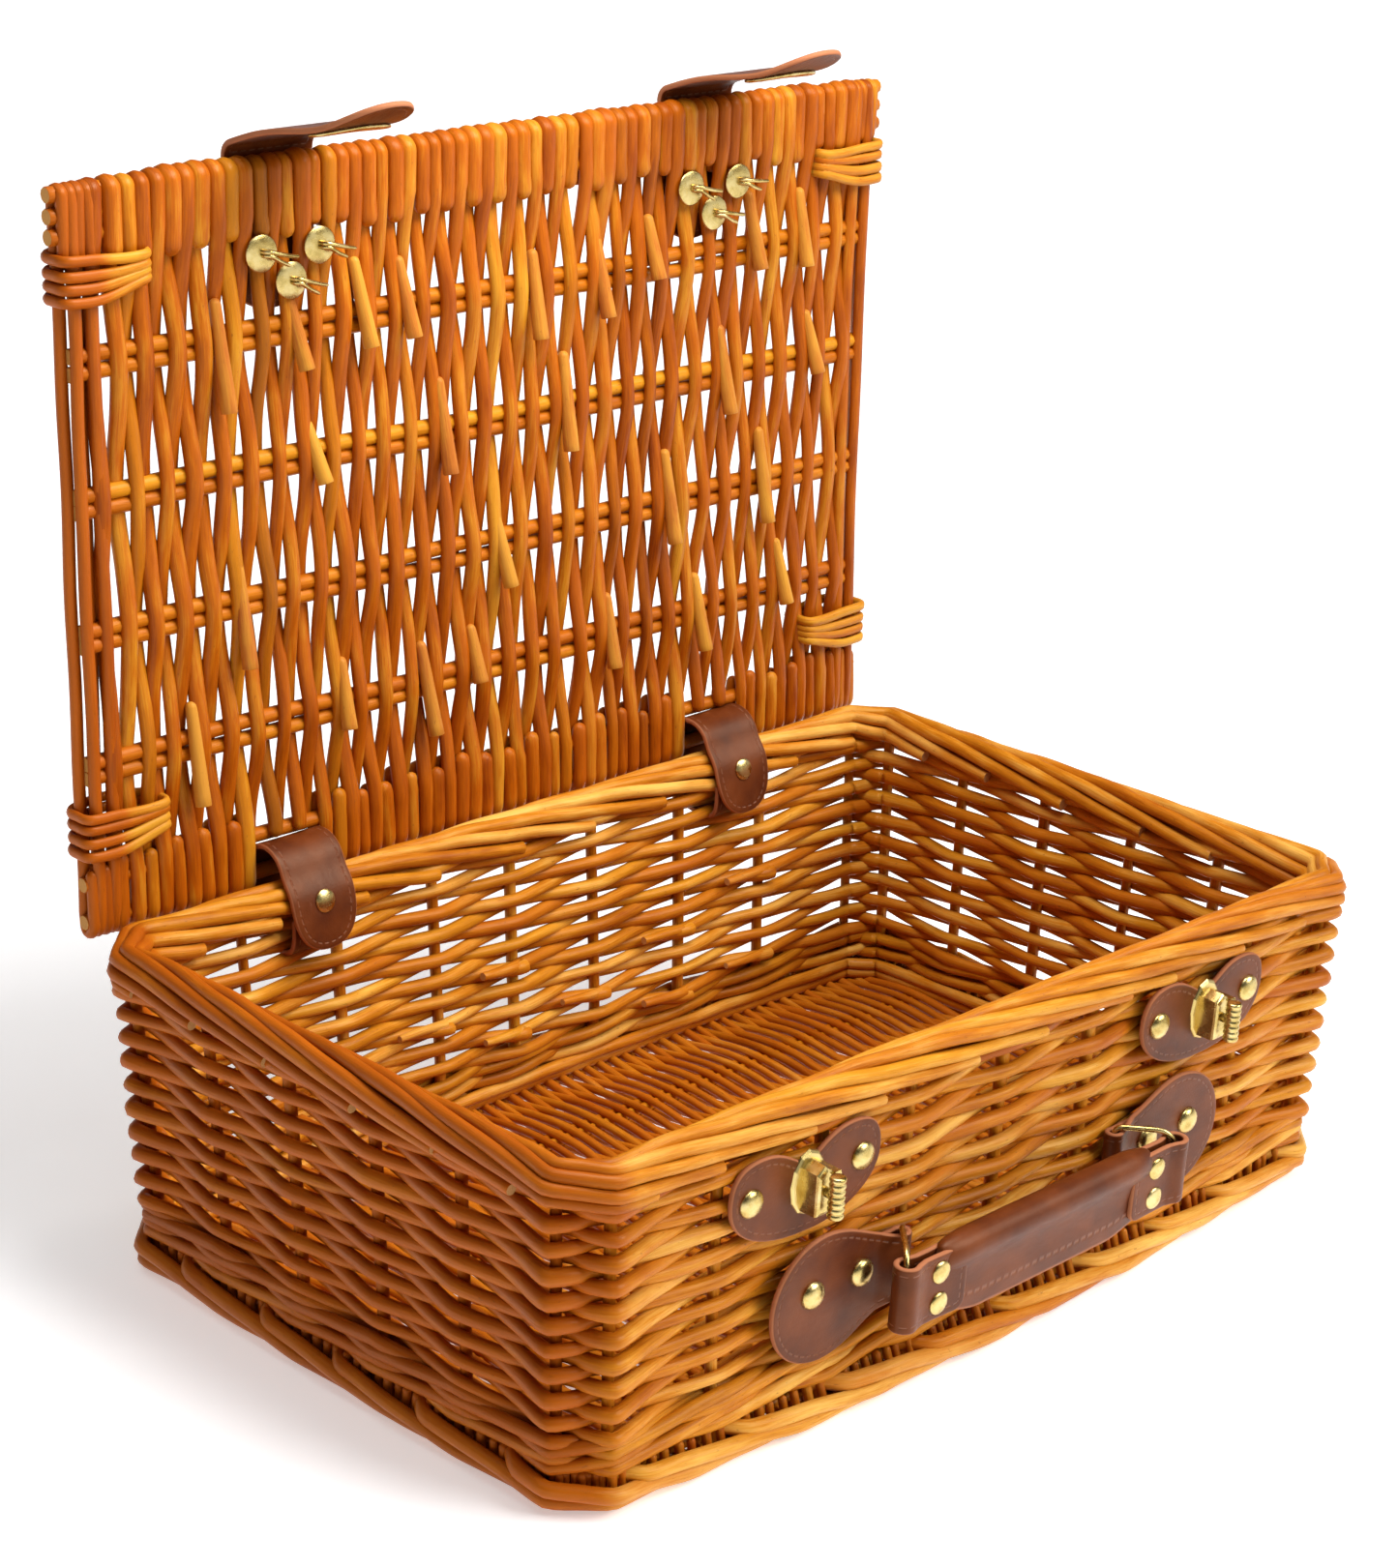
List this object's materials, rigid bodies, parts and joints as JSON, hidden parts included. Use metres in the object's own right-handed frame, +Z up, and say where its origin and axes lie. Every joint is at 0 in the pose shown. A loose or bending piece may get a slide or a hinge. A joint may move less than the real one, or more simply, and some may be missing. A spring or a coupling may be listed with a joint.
{
  "type": "wicker basket",
  "caption": "Rectangular woven willow hamper with a hinged lid, leather hinge straps, brass turn locks with leather hasps, and a leather carrying handle on D-rings.",
  "frame": {"origin": "centre of the base's flat underside", "axes": "+X to the right along the front, +Y towards the back where the lid is hinged, +Z up; the lid stands open and upright at rest"},
  "size_m": [0.478, 0.3538, 0.4955],
  "materials": {
    "willow": "honey-coloured lacquered willow rods, satin gloss",
    "rib_willow": "yellower lacquered willow sticks, satin gloss",
    "leather": "smooth reddish-brown leather with pinkish-tan cut edges and a debossed stitch line",
    "brass": "polished pale brass"
  },
  "bodies": {
    "basket": {"back_wall": "willow", "base_panel": "willow", "foot_border": "willow", "front_wall": "willow", "handle_tab_left": "leather", "handle_tab_right": "leather", "hinge_rivet_left": "brass", "hinge_rivet_right": "brass", "hinge_strap_left": "leather", "hinge_strap_right": "leather", "latch_patch_left": "leather", "latch_patch_right": "leather", "latch_rivet_left_inner": "brass", "latch_rivet_left_outer": "brass", "latch_rivet_right_inner": "brass", "latch_rivet_right_outer": "brass", "left_wall": "willow", "lock_plate_left": "brass", "lock_plate_right": "brass", "right_wall": "willow", "tab_rivet_left_inner": "brass", "tab_rivet_left_outer": "brass", "tab_rivet_right_inner": "brass", "tab_rivet_right_outer": "brass", "top_border": "willow", "upsett_wale": "willow"},
    "lid": {"hasp_root_left": "leather", "hasp_root_right": "leather", "lid_binding_left_front": "willow", "lid_binding_left_rear": "willow", "lid_binding_right_front": "willow", "lid_binding_right_rear": "willow", "lid_front_rail": "willow", "lid_hinge_rail": "willow", "lid_rib_1": "rib_willow", "lid_rib_2": "rib_willow", "lid_rib_3": "rib_willow", "lid_rib_4": "rib_willow", "lid_side_rods_left": "willow", "lid_side_rods_right": "willow", "lid_weave": "willow", "split_pin_left_inner": "brass", "split_pin_left_lower": "brass", "split_pin_left_outer": "brass", "split_pin_right_inner": "brass", "split_pin_right_lower": "brass", "split_pin_right_outer": "brass"},
    "hasp_left": {"hasp_flap_left": "leather", "hasp_plate_left": "brass"},
    "hasp_right": {"hasp_flap_right": "leather", "hasp_plate_right": "brass"},
    "turn_left": {"turn_button_left": "brass"},
    "turn_right": {"turn_button_right": "brass"},
    "handle": {"handle_grip": "leather", "handle_rivet_left_lower": "brass", "handle_rivet_left_upper": "brass", "handle_rivet_right_lower": "brass", "handle_rivet_right_upper": "brass"},
    "ring_left": {"d_ring_left": "brass"},
    "ring_right": {"d_ring_right": "brass"}
  },
  "joints": [
    {"name": "lid_hinge", "type": "hinge", "parent": "basket", "child": "lid", "pos_m": [0, 0.1545, 0.15], "axis": [1, 0, 0], "range_deg": [0, 90]},
    {"name": "hasp_left_fold", "type": "hinge", "parent": "lid", "child": "hasp_left", "pos_m": [-0.122, 0.1706, 0.4573], "axis": [1, 0, 0], "range_deg": [-70, 17]},
    {"name": "hasp_right_fold", "type": "hinge", "parent": "lid", "child": "hasp_right", "pos_m": [0.122, 0.1706, 0.4573], "axis": [1, 0, 0], "range_deg": [-70, 17]},
    {"name": "turn_left_spin", "type": "hinge", "parent": "basket", "child": "turn_left", "pos_m": [-0.122, -0.15109, 0.11186], "axis": [0, -0.9988, -0.0499], "range_deg": [0, 90]},
    {"name": "turn_right_spin", "type": "hinge", "parent": "basket", "child": "turn_right", "pos_m": [0.122, -0.15109, 0.11186], "axis": [0, -0.9988, -0.0499], "range_deg": [0, 90]},
    {"name": "handle_pull", "type": "slide", "parent": "basket", "child": "handle", "axis": [0, -0.9988, -0.0499], "range_m": [0, 0.005]},
    {"name": "ring_left_swing", "type": "hinge", "parent": "basket", "child": "ring_left", "pos_m": [-0.0664, -0.15294, 0.0567], "axis": [0, -0.0499, 0.9988], "range_deg": [0, 22]},
    {"name": "ring_right_swing", "type": "hinge", "parent": "basket", "child": "ring_right", "pos_m": [0.0664, -0.15294, 0.0567], "axis": [0, 0.0499, -0.9988], "range_deg": [0, 22]}
  ],
  "couplings": [
    {"joint": "ring_left_swing", "follows": "handle_pull", "rad_per_m": 74},
    {"joint": "ring_right_swing", "follows": "handle_pull", "rad_per_m": 74}
  ]
}
